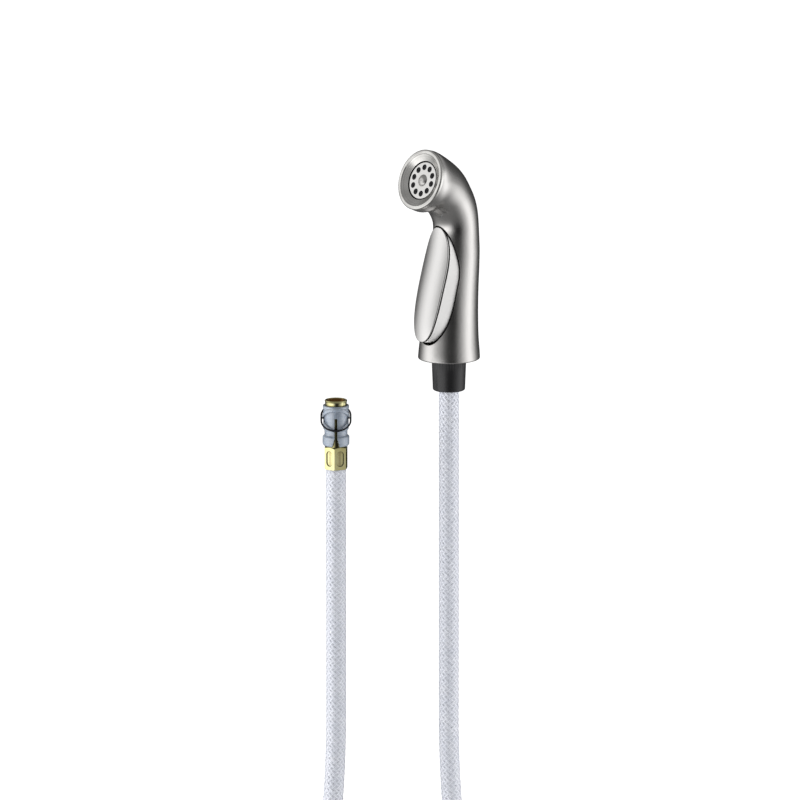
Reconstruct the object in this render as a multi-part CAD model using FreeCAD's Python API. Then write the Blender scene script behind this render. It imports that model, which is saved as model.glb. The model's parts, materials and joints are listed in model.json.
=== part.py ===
import FreeCAD, Part
import math
import os

# Hand sprayer with its braided hose and quick connector, hanging as installed.
# Millimetres, +Z up.  The origin is the centre of the sprayer's base face, the face that
# rests on the deck holder.  The spray leaves towards -Y.

V = FreeCAD.Vector

# ---- Sprayer housing -------------------------------------------------------------------
WALL = 2.0                  # housing wall
FLOOR = 3.0                 # housing floor over the base face
BASE_EDGE = 0.9             # rounding of the base's outer edge
NUT_RECESS_R = 11.9         # shallow recess in the base face that takes the hose nut
NUT_RECESS = 0.6
SPIGOT_HOLE_R = 9.1         # hole in the floor for the valve body's threaded spigot
# height, forward offset and radius of the round grip, from the base up to the neck
GRIP = [
    (0.0, 0.0, 20.5), (4.0, 0.1, 20.3), (10.0, 0.2, 19.75), (18.0, 0.5, 19.1),
    (30.0, 1.1, 18.45), (42.0, 1.9, 17.95), (58.0, 3.8, 17.05), (75.0, 5.6, 16.0),
    (87.0, 6.1, 15.15),
]
NECK_Y, NECK_Z, NECK_R = 6.1, 87.0, 15.15
BEND_R = 35.5               # radius of the neck's centre line
BEND_DEG = 69.4             # the neck turns forward by this much
THROAT_R = 20.0             # housing radius where the bend ends
FLARE_POWER = 2.0           # the neck widens with this power of its share of the bend
TAIL = 9.5                  # straight stretch from the bend's end to the spray face
MOUTH_R = 20.2              # housing radius at the seam under the face ring

# ---- Spray face, along its own axis: 0 at the ring's front, negative inwards --------------
RING_R = 20.4               # face ring outside
RING_SEAM = -2.2            # back of the ring's lip
RING_BORE_R = 13.2          # opening round the spray disc
DISC_FRONT = -2.9
SKIRT_R = 18.1              # ring's threaded skirt
SKIRT_END = -9.4
JETS = 10
JET_CIRCLE_R = 8.9
JET_HOLE_R = 2.0
JET_TURN = -11.0            # degrees that the first jet stands off the top, towards +X
BUTTON_R = 4.0              # domed screw at the centre
CHAMBER_R = 16.0

# ---- Valve, on an axis along Y ------------------------------------------------------------
VALVE_Z = 34.0
STEM_R = 2.0
SLIDE_GAP = 0.06            # radial clearance of sliding and turning fits
STEM_TIP_Y = -16.9
GLAND_FRONT_Y = -12.4
SEAT_Y = -0.8               # sealing face of the valve seat
CAP_Y = 12.6                # outer end of the rear cap
INLET_Y = 3.6               # upper inlet bore, behind the seat
OUTLET_Y = -4.55
OUTLET_TOP = 46.2
TUBE_R, TUBE_BORE_R = 4.5, 3.4
SPRING_WIRE_R, SPRING_COIL_R = 0.4, 3.4
SPRING_START_Y, SPRING_LENGTH, SPRING_TURNS = 2.9, 5.4, 4

# ---- Lever --------------------------------------------------------------------------------
HINGE_Y, HINGE_Z = -1.5, 82.0
PIN_R = 1.25
PIN_HALF = 12.8
LEVER_CENTRE = V(0, -16.75, 51.7)
LEVER_TILT = 11.8           # degrees that the paddle's plane leans from upright
LEVER_HALF_W, LEVER_HALF_L = 12.0, 38.3
LEVER_POWER = 2.6           # squareness of the rounded outline: 2 is an ellipse
LEVER_DRAFT = 0.26          # the skirt widens by this much per millimetre of depth
LEVER_BACK = -11.5          # depth of the skirt
CROWN_R = 30.0              # sideways crown of the paddle
CROWN = [                   # height and forward place of the crown line
    (2.0, -24.4), (15.0, -25.0), (31.0, -23.2), (52.0, -18.2), (73.0, -12.4),
    (90.0, -9.5), (100.0, -9.2),
]
PADDLE_T = 0.6
PADDLE_EDGE = 0.4           # rounding round the paddle's front
PARTING = 0.9               # groove round the paddle, between it and the lever frame
SEAT_INSET = 2.6            # the frame carries the paddle inside this margin
FRAME_WALL = 1.6
SIDE_GAP, TOP_GAP, FOOT_GAP = 1.0, 0.9, 1.9

# ---- Hose, its nut and its swivel -----------------------------------------------------------
HOSE_R, HOSE_BORE_R = 6.75, 4.35
NUT_TOP_R, NUT_LOW_R, NUT_BOTTOM = 11.5, 10.7, -21.3
NUT_RIBS = 40
SPIGOT_R, SPIGOT_BORE_R, SPIGOT_END = 9.0, 5.2, -6.4
HOSE_TOP = -12.6
LEG_GAP = 74.6              # between the two hanging legs
LOOP_DEG = 229.0            # direction from the sprayer's leg to the connector's leg
CONNECTOR_HOSE_Z = -74.4    # where the hose meets the connector's ferrule
# The hose's route, chosen by hand: along the line between the legs, across it, and height.
ROUTE = [
    (0.0, 0.0, HOSE_TOP), (0.0, 0.0, -290.0), (-11.5, 2.0, -388.0), (-30.0, 5.0, -461.0),
    (-52.0, 7.0, -515.0), (-36.0, 8.0, -568.5), (8.5, 8.0, -602.0), (65.0, 7.0, -600.0),
    (109.0, 6.0, -566.0), (126.5, 4.5, -513.0), (105.0, 3.0, -459.0), (85.5, 1.0, -386.0),
    (LEG_GAP, 0.0, -288.0), (LEG_GAP, 0.0, CONNECTOR_HOSE_Z),
]
ARC_SHARE = 0.45            # share of the shorter run that an arc takes at each end

# ---- Connector, on the second leg's axis ----------------------------------------------------
LIP_TOP, LIP_R, BARREL_R = -28.3, 7.5, 6.8
SOCKET_R = 5.0              # bore that slides over the faucet's nipple
COLLAR_TOP, COLLAR_END = -31.6, -58.7
COLLAR_R, COLLAR_BORE_R = 8.4, 6.86
WAIST_R, SKIRT_BAND_R = 7.6, 8.85
ARCH_R, ARCH_HEIGHT = 8.95, 1.3     # raised band over the window
WINDOW_R = 7.75             # the window is cut in to this radius
SLIT_TOP, SLIT_HALF = -39.5, 1.0
NOTCH_TOP, NOTCH_HALF = -53.0, 3.0
PIVOT_Z = -40.4
RELEASE_DEG = 35.0          # the ring hangs this far below level at the front
RING_HALF_W, RING_HALF_D, WIRE_R = 9.7, 12.0, 0.6
RING_PIN_R, RING_PIN_END = 0.55, 7.1
HEX_AF, HEX_TOP = 14.3, -59.4
HEX_TURN = -18.0            # direction of one hex face
RECESS_HALF_W, RECESS_RUN, RECESS_DEPTH = 2.6, 2.7, 0.7


def unit(degrees):
    """A level unit vector in this direction."""
    return V(math.cos(math.radians(degrees)), math.sin(math.radians(degrees)), 0)


ALONG = unit(LOOP_DEG)              # from the sprayer's leg to the connector's
ACROSS = unit(LOOP_DEG + 90)        # square to the loop's plane, the connector's front
CONNECTOR = ALONG * LEG_GAP


# ---- Small makers ---------------------------------------------------------------------------
def wire_of(points):
    """A closed wire; a point given as a pair of points is an arc through the first to the second."""
    edges, last = [], points[0]
    for item in points[1:] + [points[0]]:
        if isinstance(item, tuple):
            edges.append(Part.Arc(last, item[0], item[1]).toShape())
            last = item[1]
        else:
            edges.append(Part.LineSegment(last, item).toShape())
            last = item
    return Part.Wire(edges)


def turned(profile, base=V(0, 0, 0), axis=V(0, 0, 1)):
    """A solid turned about an axis, from (radius, height) pairs; see wire_of for arcs."""
    points = []
    for item in profile:
        if isinstance(item[0], tuple):
            points.append(tuple(V(r, 0, h) for r, h in item))
        else:
            points.append(V(item[0], 0, item[1]))
    solid = Part.Face(wire_of(points)).revolve(V(0, 0, 0), V(0, 0, 1), 360)
    solid.Placement = FreeCAD.Placement(base, FreeCAD.Rotation(V(0, 0, 1), axis))
    return solid


def rod(radius, start, end):
    """A cylinder between two points."""
    return Part.makeCylinder(radius, (end - start).Length, start, end - start)


def pipe(outer, inner, start, end):
    return rod(outer, start, end).cut(rod(inner, start, end))


def o_ring(inner_r, wire_r, centre, axis=V(0, 0, 1)):
    return Part.makeTorus(inner_r + wire_r, wire_r, centre, axis)


def on_valve(y):
    return V(0, y, VALVE_Z)


def hinge_rod(radius, half_length):
    """A cylinder on the lever's hinge axis."""
    return rod(radius, V(-half_length, HINGE_Y, HINGE_Z), V(half_length, HINGE_Y, HINGE_Z))


FACE_AXIS = V(0, -math.sin(math.radians(BEND_DEG)), math.cos(math.radians(BEND_DEG)))
BEND_TANGENT = BEND_R * math.tan(math.radians(BEND_DEG / 2))
BEND_CORNER = V(0, NECK_Y, NECK_Z + BEND_TANGENT)
FACE = BEND_CORNER + FACE_AXIS * (BEND_TANGENT + TAIL)


def on_face(height):
    """The point on the spray face's axis at this height from the ring's front."""
    return FACE + FACE_AXIS * height


def face_turned(profile):
    return turned(profile, FACE, FACE_AXIS)


def jet_places(height):
    """Where the jets are at this height."""
    for i in range(JETS):
        angle = math.radians(JET_TURN + 360 / JETS * i)
        up = FACE_AXIS.cross(V(1, 0, 0))
        yield on_face(height) + (V(1, 0, 0) * math.sin(angle) + up * math.cos(angle)) * JET_CIRCLE_R


# ---- Housing ----------------------------------------------------------------------------------
def ring_wire(radius, centre, tilt=0.0):
    """A circle whose axis leans forward from upright by tilt degrees."""
    wire = Part.Wire([Part.Circle(V(0, 0, 0), V(0, 0, 1), radius).toShape()])
    wire.Placement = FreeCAD.Placement(centre, FreeCAD.Rotation(V(1, 0, 0), tilt))
    return wire


def housing_form(inset):
    """The housing's smooth form, inset from its outside."""
    wires = [ring_wire(r - inset, V(0, y, z)) for z, y, r in GRIP]
    centre = V(0, NECK_Y - BEND_R, NECK_Z)
    steps = 5
    for i in range(1, steps + 1):
        share = i / steps
        tilt = BEND_DEG * share
        radius = NECK_R + (THROAT_R - NECK_R) * share ** FLARE_POWER
        around = V(0, math.cos(math.radians(tilt)), math.sin(math.radians(tilt))) * BEND_R
        wires.append(ring_wire(radius - inset, centre + around, tilt))
    wires.append(ring_wire(MOUTH_R - inset, on_face(RING_SEAM), BEND_DEG))
    return Part.makeLoft(wires, True, False)


def spray_body():
    body = housing_form(0.0)
    edge = [e for e in body.Edges if e.BoundBox.ZMax < 0.01]
    body = body.makeFillet(BASE_EDGE, edge)
    hollow = housing_form(WALL).cut(Part.makeBox(60, 60, FLOOR + 5, V(-30, -30, -5)))
    body = body.cut(hollow)
    body = body.cut(rod(SKIRT_R + 0.05, on_face(SKIRT_END - 0.8), on_face(2)))
    body = body.cut(rod(NUT_RECESS_R, V(0, 0, -1), V(0, 0, NUT_RECESS)))
    body = body.cut(rod(SPIGOT_HOLE_R, V(0, 0, -1), V(0, 0, FLOOR + 1)))
    opening = lever_form(LEVER_BACK - 5.0, SIDE_GAP, TOP_GAP, FOOT_GAP)
    body = body.cut(opening)
    return body.cut(hinge_rod(PIN_R, PIN_HALF + 0.1))


# ---- Spray head ---------------------------------------------------------------------------------
def face_ring():
    return face_turned([
        (RING_BORE_R, -2.6), (17.3, -0.45), ((17.7, -0.1), (18.3, 0.0)), (19.3, 0.0),
        ((20.1, -0.35), (RING_R, -1.1)), (RING_R, RING_SEAM), (SKIRT_R, RING_SEAM),
        (SKIRT_R, SKIRT_END), (16.3, SKIRT_END), (16.3, -4.2), (RING_BORE_R, -4.2),
    ])


def spray_disc():
    disc = face_turned([
        (1.6, DISC_FRONT), (12.0, DISC_FRONT), ((12.3, -3.0), (12.4, -3.3)), (12.4, -4.3),
        (16.1, -4.3), (16.1, -5.3), (1.6, -5.3),
    ])
    for jet in jet_places(0):
        disc = disc.cut(rod(JET_HOLE_R, jet + FACE_AXIS * -6, jet))
    return disc


def jet_pad():
    """Rubber pad behind the disc, whose nozzles stand in the disc's holes."""
    pad = face_turned([(1.6, -5.35), (14.5, -5.35), (14.5, -6.6), (1.6, -6.6)])
    for jet in jet_places(0):
        pad = pad.fuse(rod(JET_HOLE_R - 0.15, jet + FACE_AXIS * -6, jet + FACE_AXIS * -3.3))
    for jet in jet_places(0):
        pad = pad.cut(rod(0.5, jet + FACE_AXIS * -7, jet))
    return pad.removeSplitter()


def jet_plate():
    """Spreader plate behind the pad, with the hub that the face screw is driven into."""
    plate = face_turned([
        (1.45, -6.65), (15.7, -6.65), (15.7, -8.15), (3.4, -8.15), (3.4, -10.2), (1.45, -10.2),
    ])
    for jet in jet_places(0):
        plate = plate.cut(rod(0.9, jet + FACE_AXIS * -9, jet))
    return plate


def face_screw():
    return face_turned([
        (0, -1.4), ((2.6, -1.7), (BUTTON_R, DISC_FRONT)), (1.4, DISC_FRONT), (1.4, -9.8), (0, -9.8),
    ])


def face_seal():
    return o_ring(14.3, 0.72, on_face(-8.92), FACE_AXIS)


def head_chamber():
    """Cup that feeds the spray plate from the water tube."""
    return face_turned([
        (TUBE_R + 0.05, -19.0), (6.3, -19.0), (6.3, -13.2), (CHAMBER_R, -13.2), (CHAMBER_R, -9.7),
        (14.2, -9.7), (14.2, -11.6), (TUBE_R - 0.5, -11.6), (TUBE_R - 0.5, -13.2),
        (TUBE_R + 0.05, -13.2),
    ])


def rounded_path(points, radii):
    """Straight runs joined by tangent arcs, one radius for each inner point."""
    edges, last = [], points[0]
    for before, corner, after, radius in zip(points, points[1:], points[2:], radii):
        back = (before - corner).normalize()
        ahead = (after - corner).normalize()
        turn = math.pi - back.getAngle(ahead)
        reach = radius * math.tan(turn / 2)
        start, end = corner + back * reach, corner + ahead * reach
        middle = corner + (back + ahead).normalize() * (radius / math.cos(turn / 2) - radius)
        edges.append(Part.LineSegment(last, start).toShape())
        edges.append(Part.Arc(start, middle, end).toShape())
        last = end
    edges.append(Part.LineSegment(last, points[-1]).toShape())
    return Part.Wire(edges)


def swept(path, radius):
    """A round bar along a path that starts at its first vertex."""
    start = path.OrderedVertexes[0].Point
    heading = path.OrderedEdges[0].tangentAt(path.OrderedEdges[0].FirstParameter)
    section = Part.Wire([Part.Circle(start, heading, radius).toShape()])
    return path.makePipeShell([section], True, True)


def water_tube():
    points = [
        V(0, OUTLET_Y, OUTLET_TOP - 4.2), V(0, OUTLET_Y, 52), V(0, NECK_Y, 84),
        BEND_CORNER, on_face(-13.25),
    ]
    path = rounded_path(points, [20, 40, 14])
    return swept(path, TUBE_R).cut(swept(path, TUBE_BORE_R))


# ---- Valve -----------------------------------------------------------------------------------------
def valve_body():
    body = rod(8.2, on_valve(-7.5), on_valve(10.6))
    body = body.fuse(rod(6.2, on_valve(-10.6), on_valve(-7.5)))
    body = body.fuse(rod(SPIGOT_R, V(0, 0, SPIGOT_END), V(0, 0, FLOOR)))
    body = body.fuse(rod(16.9, V(0, 0, FLOOR + 0.02), V(0, 0, 5.5)))
    body = body.fuse(rod(SPIGOT_R, V(0, 0, 0), V(0, 0, 5)))
    body = body.fuse(rod(7.0, V(0, 0, 5.5), V(0, 0, 16)))
    body = body.fuse(rod(5.6, V(0, INLET_Y, 8), V(0, INLET_Y, VALVE_Z - 4)))
    body = body.fuse(rod(5.9, V(0, OUTLET_Y, VALVE_Z), V(0, OUTLET_Y, OUTLET_TOP)))
    for tool in (
        rod(3.6, on_valve(-11), on_valve(-7.8)),                        # gland
        rod(STEM_R + SLIDE_GAP, on_valve(-12), on_valve(0)),            # stem guide
        rod(5.2, on_valve(-6.9), on_valve(SEAT_Y - 1.4)),               # outlet side
        rod(3.6, on_valve(-4), on_valve(2)),                            # seat
        rod(6.0, on_valve(SEAT_Y), on_valve(12)),                       # pressure side
        rod(SPIGOT_BORE_R, V(0, 0, SPIGOT_END - 1), V(0, 0, 10)),
        rod(3.2, V(0, INLET_Y, 8), V(0, INLET_Y, VALVE_Z)),
        rod(2.2, V(0, OUTLET_Y, VALVE_Z), V(0, OUTLET_Y, OUTLET_TOP)),
        rod(TUBE_R + 0.05, V(0, OUTLET_Y, OUTLET_TOP - 4.2), V(0, OUTLET_Y, OUTLET_TOP + 1)),
    ):
        body = body.cut(tool)
    return body.removeSplitter()


def gland_nut():
    nut = rod(5.4, on_valve(GLAND_FRONT_Y), on_valve(-10.65))
    nut = nut.fuse(rod(3.55, on_valve(-10.7), on_valve(-9.5)))
    nut = nut.cut(rod(STEM_R + 0.1, on_valve(-14), on_valve(-8)))
    for x in (-4.1, 4.1):
        nut = nut.cut(rod(0.7, V(x, GLAND_FRONT_Y - 1, VALVE_Z), V(x, -11.4, VALVE_Z)))
    return nut.removeSplitter()


def stem_seal():
    return o_ring(STEM_R + SLIDE_GAP, 0.72, on_valve(-8.62), V(0, 1, 0))


def valve_cap():
    cap = rod(5.95, on_valve(8.9), on_valve(10.7)).fuse(rod(7.4, on_valve(10.65), on_valve(CAP_Y)))
    slot = Part.makeBox(10, 1.2, 1.6, V(-5, CAP_Y - 1.2, VALVE_Z - 0.8))
    return cap.cut(slot).removeSplitter()


def valve_stem():
    stem = rod(STEM_R, on_valve(STEM_TIP_Y + 0.8), on_valve(1.0))
    stem = stem.fuse(turned([(0, 0), ((1.45, 0.22), (STEM_R, 0.8)), (0, 0.8)],
                            on_valve(STEM_TIP_Y), V(0, 1, 0)))
    stem = stem.fuse(rod(5.0, on_valve(0.75), on_valve(2.1)))
    stem = stem.fuse(rod(1.8, on_valve(2.0), on_valve(4.6)))
    return stem.removeSplitter()


def seat_washer():
    return pipe(4.9, STEM_R + 0.02, on_valve(SEAT_Y + 0.3), on_valve(0.72))


def valve_spring():
    """Coil spring between the stem's disc and the rear cap."""
    pitch = SPRING_LENGTH / SPRING_TURNS
    helix = Part.makeHelix(pitch, SPRING_LENGTH, SPRING_COIL_R)
    heading = V(0, 2 * math.pi * SPRING_COIL_R, pitch)
    section = Part.Wire([Part.Circle(V(SPRING_COIL_R, 0, 0), heading, SPRING_WIRE_R).toShape()])
    spring = Part.Wire(helix.Edges).makePipeShell([section], True, True)
    turn = FreeCAD.Rotation(V(0, 0, 1), V(0, 1, 0))
    spring.Placement = FreeCAD.Placement(on_valve(SPRING_START_Y), turn)
    return spring


def flow_regulator():
    disc = rod(SPIGOT_BORE_R - 0.05, V(0, 0, 7.0), V(0, 0, 9.2))
    for i in range(5):
        place = unit(72 * i) * 2.9
        disc = disc.cut(rod(0.8, place + V(0, 0, 6), place + V(0, 0, 10)))
    return disc


# ---- Lever -----------------------------------------------------------------------------------------
LEAN = math.radians(LEVER_TILT)
LEVER_UP = V(0, math.sin(LEAN), math.cos(LEAN))
LEVER_OUT = V(0, -math.cos(LEAN), math.sin(LEAN))


def lever_outline(depth, side, top, foot):
    """The lever's rounded outline at a depth behind its plane, grown by these gaps."""
    half_w = LEVER_HALF_W - LEVER_DRAFT * (depth + 2) + side
    half_l = LEVER_HALF_L + (top + foot) / 2
    middle = LEVER_CENTRE + LEVER_OUT * depth + LEVER_UP * ((top - foot) / 2)
    points, steps = [], 36
    for i in range(steps):
        c, s = math.cos(2 * math.pi * i / steps), math.sin(2 * math.pi * i / steps)
        x = math.copysign(abs(c) ** (2 / LEVER_POWER), c) * half_w
        u = math.copysign(abs(s) ** (2 / LEVER_POWER), s) * half_l
        points.append(middle + V(x, 0, 0) + LEVER_UP * u)
    curve = Part.BSplineCurve()
    curve.interpolate(points, PeriodicFlag=True)
    return Part.Wire([curve.toShape()])


def lever_form(back, side=0.0, top=0.0, foot=0.0):
    """The drafted block that the lever's outline makes, from well in front to its back."""
    wires = [lever_outline(d, side, top, foot) for d in (back, 12.0)]
    return Part.makeLoft(wires, True, True)


def crown_form(inset):
    """Everything behind the paddle's crowned front, moved in by an inset."""
    wires = [ring_wire(CROWN_R - inset, V(0, y + CROWN_R, z)) for z, y in CROWN]
    return Part.makeLoft(wires, True, False)


def lever_paddle():
    solid = lever_form(LEVER_BACK).common(crown_form(0))
    front = max(solid.Faces, key=lambda face: face.CenterOfMass.dot(LEVER_OUT))
    return solid.makeFillet(PADDLE_EDGE, front.Edges).cut(crown_form(PADDLE_T))


def lever_frame():
    skin = PADDLE_T + PARTING
    outer = lever_form(LEVER_BACK).common(crown_form(skin))
    seat = lever_form(LEVER_BACK, -SEAT_INSET, -SEAT_INSET, -SEAT_INSET)
    outer = outer.fuse(seat.common(crown_form(PADDLE_T + 0.02)))
    inner = lever_form(LEVER_BACK - 1, -FRAME_WALL, -FRAME_WALL, -FRAME_WALL)
    frame = outer.cut(inner.common(crown_form(skin + FRAME_WALL)))
    frame = frame.cut(Part.makeBox(17, 20, 20, V(-8.5, -14.0, -1.5)))   # clears the inlet column
    frame = frame.cut(Part.makeBox(12.4, 20, 30, V(-6.2, -3.5, 70)))    # clears the water tube
    for side in (-1, 1):
        boss = rod(3.0, V(side * 7.2, HINGE_Y, HINGE_Z), V(side * 11, HINGE_Y, HINGE_Z))
        frame = frame.fuse(boss.common(lever_form(LEVER_BACK - 2)))
    pad = rod(3.2, on_valve(STEM_TIP_Y - 0.4), on_valve(-21)).common(crown_form(skin))
    frame = frame.fuse(pad)
    frame = frame.cut(hinge_rod(PIN_R + SLIDE_GAP, 20))
    return frame.removeSplitter()


def hinge_pin():
    return hinge_rod(PIN_R, PIN_HALF)


# ---- Hose end at the sprayer ------------------------------------------------------------------------
def hose_nut():
    nut = turned([
        (SPIGOT_R + 0.05, NUT_RECESS), (NUT_TOP_R - 0.2, NUT_RECESS), (NUT_TOP_R, 0.0),
        (NUT_LOW_R, NUT_BOTTOM + 1.2),
        ((NUT_LOW_R - 0.3, NUT_BOTTOM + 0.3), (NUT_LOW_R - 1.2, NUT_BOTTOM)),
        (HOSE_R + 0.35, NUT_BOTTOM), (HOSE_R + 0.35, -20.4), (8.5, -19.6), (8.5, -11.9),
        (9.25, -11.9), (9.25, -10.1), (8.5, -10.1), (8.5, -7.6), (SPIGOT_R + 0.05, -7.6),
    ])
    for i in range(NUT_RIBS):
        place = unit(360 / NUT_RIBS * i) * (NUT_TOP_R + 0.12)
        nut = nut.cut(rod(0.42, place + V(0, 0, -8.5), place + V(0, 0, 1)))
    return nut


def hose_washer():
    return pipe(8.6, 5.6, V(0, 0, -7.55), V(0, 0, SPIGOT_END - 0.02))


def retaining_clip():
    """Open ring in the nut's groove that carries the swivel's flange."""
    clip = pipe(9.15, 6.0, V(0, 0, -11.75), V(0, 0, -10.25))
    return clip.cut(Part.makeBox(12, 5, 4, V(0, -2.5, -13)))


def swivel_fitting():
    """Barbed tail in the hose, flange in the nut, and the grooved end that turns in the spigot."""
    end_r, groove_r = SPIGOT_BORE_R - SLIDE_GAP, 3.9
    return turned([
        (2.8, 6.0), (4.7, 6.0), (end_r, 5.4), (end_r, 3.0), (groove_r, 3.0), (groove_r, 1.4),
        (end_r, 1.4), (end_r, -2.0), (groove_r, -2.0), (groove_r, -3.6), (end_r, -3.6),
        (end_r, -7.85), (8.1, -7.85), (8.1, -9.9), (5.6, -9.9), (5.6, -12.2), (4.3, -12.2),
        (4.3, -19.4), (3.9, -20.2), (2.8, -20.2),
    ])


def swivel_seals():
    return Part.makeCompound([o_ring(3.9, 0.61, V(0, 0, z)) for z in (2.2, -2.8)])


def crimp_sleeve():
    bore_r = HOSE_R + 0.02
    return turned([
        (5.65, -12.15), (7.6, -12.15), (7.9, -12.5), (7.9, -18.7), (7.3, -19.4), (bore_r, -19.4),
        (bore_r, -12.5), (5.65, -12.5),
    ])


# ---- Hose ---------------------------------------------------------------------------------------------
def route_points():
    return [ALONG * a + ACROSS * b + V(0, 0, z) for a, b, z in ROUTE]


def route_radii(points):
    radii = []
    for before, corner, after in zip(points, points[1:], points[2:]):
        back, ahead = before - corner, after - corner
        turn = math.pi - back.getAngle(ahead)
        radii.append(ARC_SHARE * min(back.Length, ahead.Length) / math.tan(turn / 2))
    return radii


def hose_tube():
    points = route_points()
    radii = route_radii(points)
    path = rounded_path(points, radii)
    tube = swept(path, HOSE_R).cut(swept(path, HOSE_BORE_R))
    expected = math.pi * (HOSE_R ** 2 - HOSE_BORE_R ** 2) * path.Length
    print("hose length %.1f mm, radii" % path.Length, ", ".join("%.0f" % r for r in radii))
    print("hose volume %.0f mm3, section times length %.0f mm3" % (tube.Volume, expected))
    return tube


# ---- Connector ------------------------------------------------------------------------------------------
def at_connector(height):
    return CONNECTOR + V(0, 0, height)


def connector_turned(profile):
    return turned(profile, CONNECTOR)


def hose_insert():
    """Barbed tail that the hose is pushed over, and the shoulder screwed into the barrel."""
    return connector_turned([
        (2.9, -55.0), (4.9, -55.0), (4.9, -62.4), (4.3, -62.4), (4.3, -85.6), (3.8, -86.6),
        (2.9, -86.6),
    ])


def socket_barrel():
    return connector_turned([
        (6.4, LIP_TOP), ((7.0, LIP_TOP + 0.25), (LIP_R, LIP_TOP - 0.35)), (7.2, LIP_TOP - 1.0),
        (7.1, COLLAR_TOP + 0.2), (BARREL_R, COLLAR_TOP + 0.05), (BARREL_R, HEX_TOP),
        (4.95, HEX_TOP), (4.95, -54.9), (3.4, -54.9), (3.4, -51.5), (SOCKET_R, -50.5),
        (SOCKET_R, -48.9), (6.02, -48.9), (6.02, -47.1), (SOCKET_R, -47.1), (SOCKET_R, -45.4),
        (6.02, -45.4), (6.02, -43.6), (SOCKET_R, -43.6), (SOCKET_R, -31.0),
    ])


def socket_seals():
    return Part.makeCompound([o_ring(SOCKET_R + 0.03, 0.48, at_connector(z)) for z in (-44.5, -48.0)])


def connector_frame(place, raised=0.0):
    """The connector's own frame at a place: X on the pivot line, Y to its front, raised by degrees."""
    level = FreeCAD.Placement(place, FreeCAD.Rotation(V(0, 0, 1), LOOP_DEG))
    return level.multiply(FreeCAD.Placement(V(0, 0, 0), FreeCAD.Rotation(V(1, 0, 0), raised)))


def tilted_slab(degrees, low, high):
    """A slab through the ring's pivot line that rises to the connector's front by this angle."""
    slab = Part.makeBox(40, 20, high - low, V(-20, 0, low))
    slab.Placement = connector_frame(at_connector(PIVOT_Z), degrees)
    return slab


def collar_slit():
    """The front's slit, which widens into a notch at the collar's lower end."""
    height = SLIT_TOP - COLLAR_END
    slit = Part.makeBox(2 * SLIT_HALF, 12, height + 1, V(-SLIT_HALF, 3, COLLAR_END - 1))
    corners = [
        V(-SLIT_HALF, 3, NOTCH_TOP), V(SLIT_HALF, 3, NOTCH_TOP),
        V(NOTCH_HALF, 3, COLLAR_END - 1), V(-NOTCH_HALF, 3, COLLAR_END - 1),
    ]
    notch = Part.Face(Part.makePolygon(corners + corners[:1])).extrude(V(0, 12, 0))
    slit = slit.fuse(notch)
    slit.Placement = connector_frame(CONNECTOR)
    return slit


def snap_collar():
    """Split plastic collar: a top band, two arms, and the eye-shaped window that the ring swings in."""
    collar = connector_turned([
        (COLLAR_BORE_R, COLLAR_TOP), (8.3, COLLAR_TOP), ((8.55, -31.75), (8.65, -32.1)),
        (8.65, -33.2), (COLLAR_R, -33.7), (COLLAR_R, -47.6), (WAIST_R, -48.6), (WAIST_R, -51.4),
        (SKIRT_BAND_R, -52.6), (SKIRT_BAND_R, -57.2), ((8.5, -58.2), (7.9, COLLAR_END)),
        (COLLAR_BORE_R, COLLAR_END),
    ])
    arch_stock = pipe(ARCH_R, COLLAR_BORE_R, at_connector(-48), at_connector(COLLAR_TOP))
    window_stock = pipe(ARCH_R + 1, WINDOW_R, at_connector(-50), at_connector(COLLAR_TOP))
    lower, upper = tilted_slab(RELEASE_DEG, -20, 0), tilted_slab(-RELEASE_DEG, 0, 20)
    window = window_stock.common(lower).common(upper)
    arch = arch_stock.common(tilted_slab(RELEASE_DEG, 0.0, ARCH_HEIGHT))
    slit = collar_slit()
    for turn in (0, 180):
        for piece in (window, arch, slit):
            piece.rotate(CONNECTOR, V(0, 0, 1), turn)
        collar = collar.cut(window).fuse(arch).cut(slit)
    reach = ALONG * 12
    axle = rod(RING_PIN_R + 0.07, at_connector(PIVOT_Z) - reach, at_connector(PIVOT_Z) + reach)
    return collar.cut(axle).removeSplitter()


def release_ring():
    """Long wire ring on two inward pins, hanging low at the connector's front."""
    w, straight = RING_HALF_W, RING_HALF_D - RING_HALF_W
    front, back = V(0, straight + w, 0), V(0, -straight - w, 0)
    left, right = V(-w, straight, 0), V(w, straight, 0)
    back_left, back_right = V(-w, -straight, 0), V(w, -straight, 0)
    path = Part.Wire([
        Part.LineSegment(back_right, right).toShape(),
        Part.Arc(right, front, left).toShape(),
        Part.LineSegment(left, back_left).toShape(),
        Part.Arc(back_left, back, back_right).toShape(),
    ])
    section = Part.Wire([Part.Circle(back_right, V(0, 1, 0), WIRE_R).toShape()])
    ring = path.makePipeShell([section], True, True)
    for side in (-1, 1):
        ring = ring.fuse(rod(RING_PIN_R, V(side * w, 0, 0), V(side * RING_PIN_END, 0, 0)))
    ring.Placement = connector_frame(at_connector(PIVOT_Z), -RELEASE_DEG)
    return ring


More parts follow.
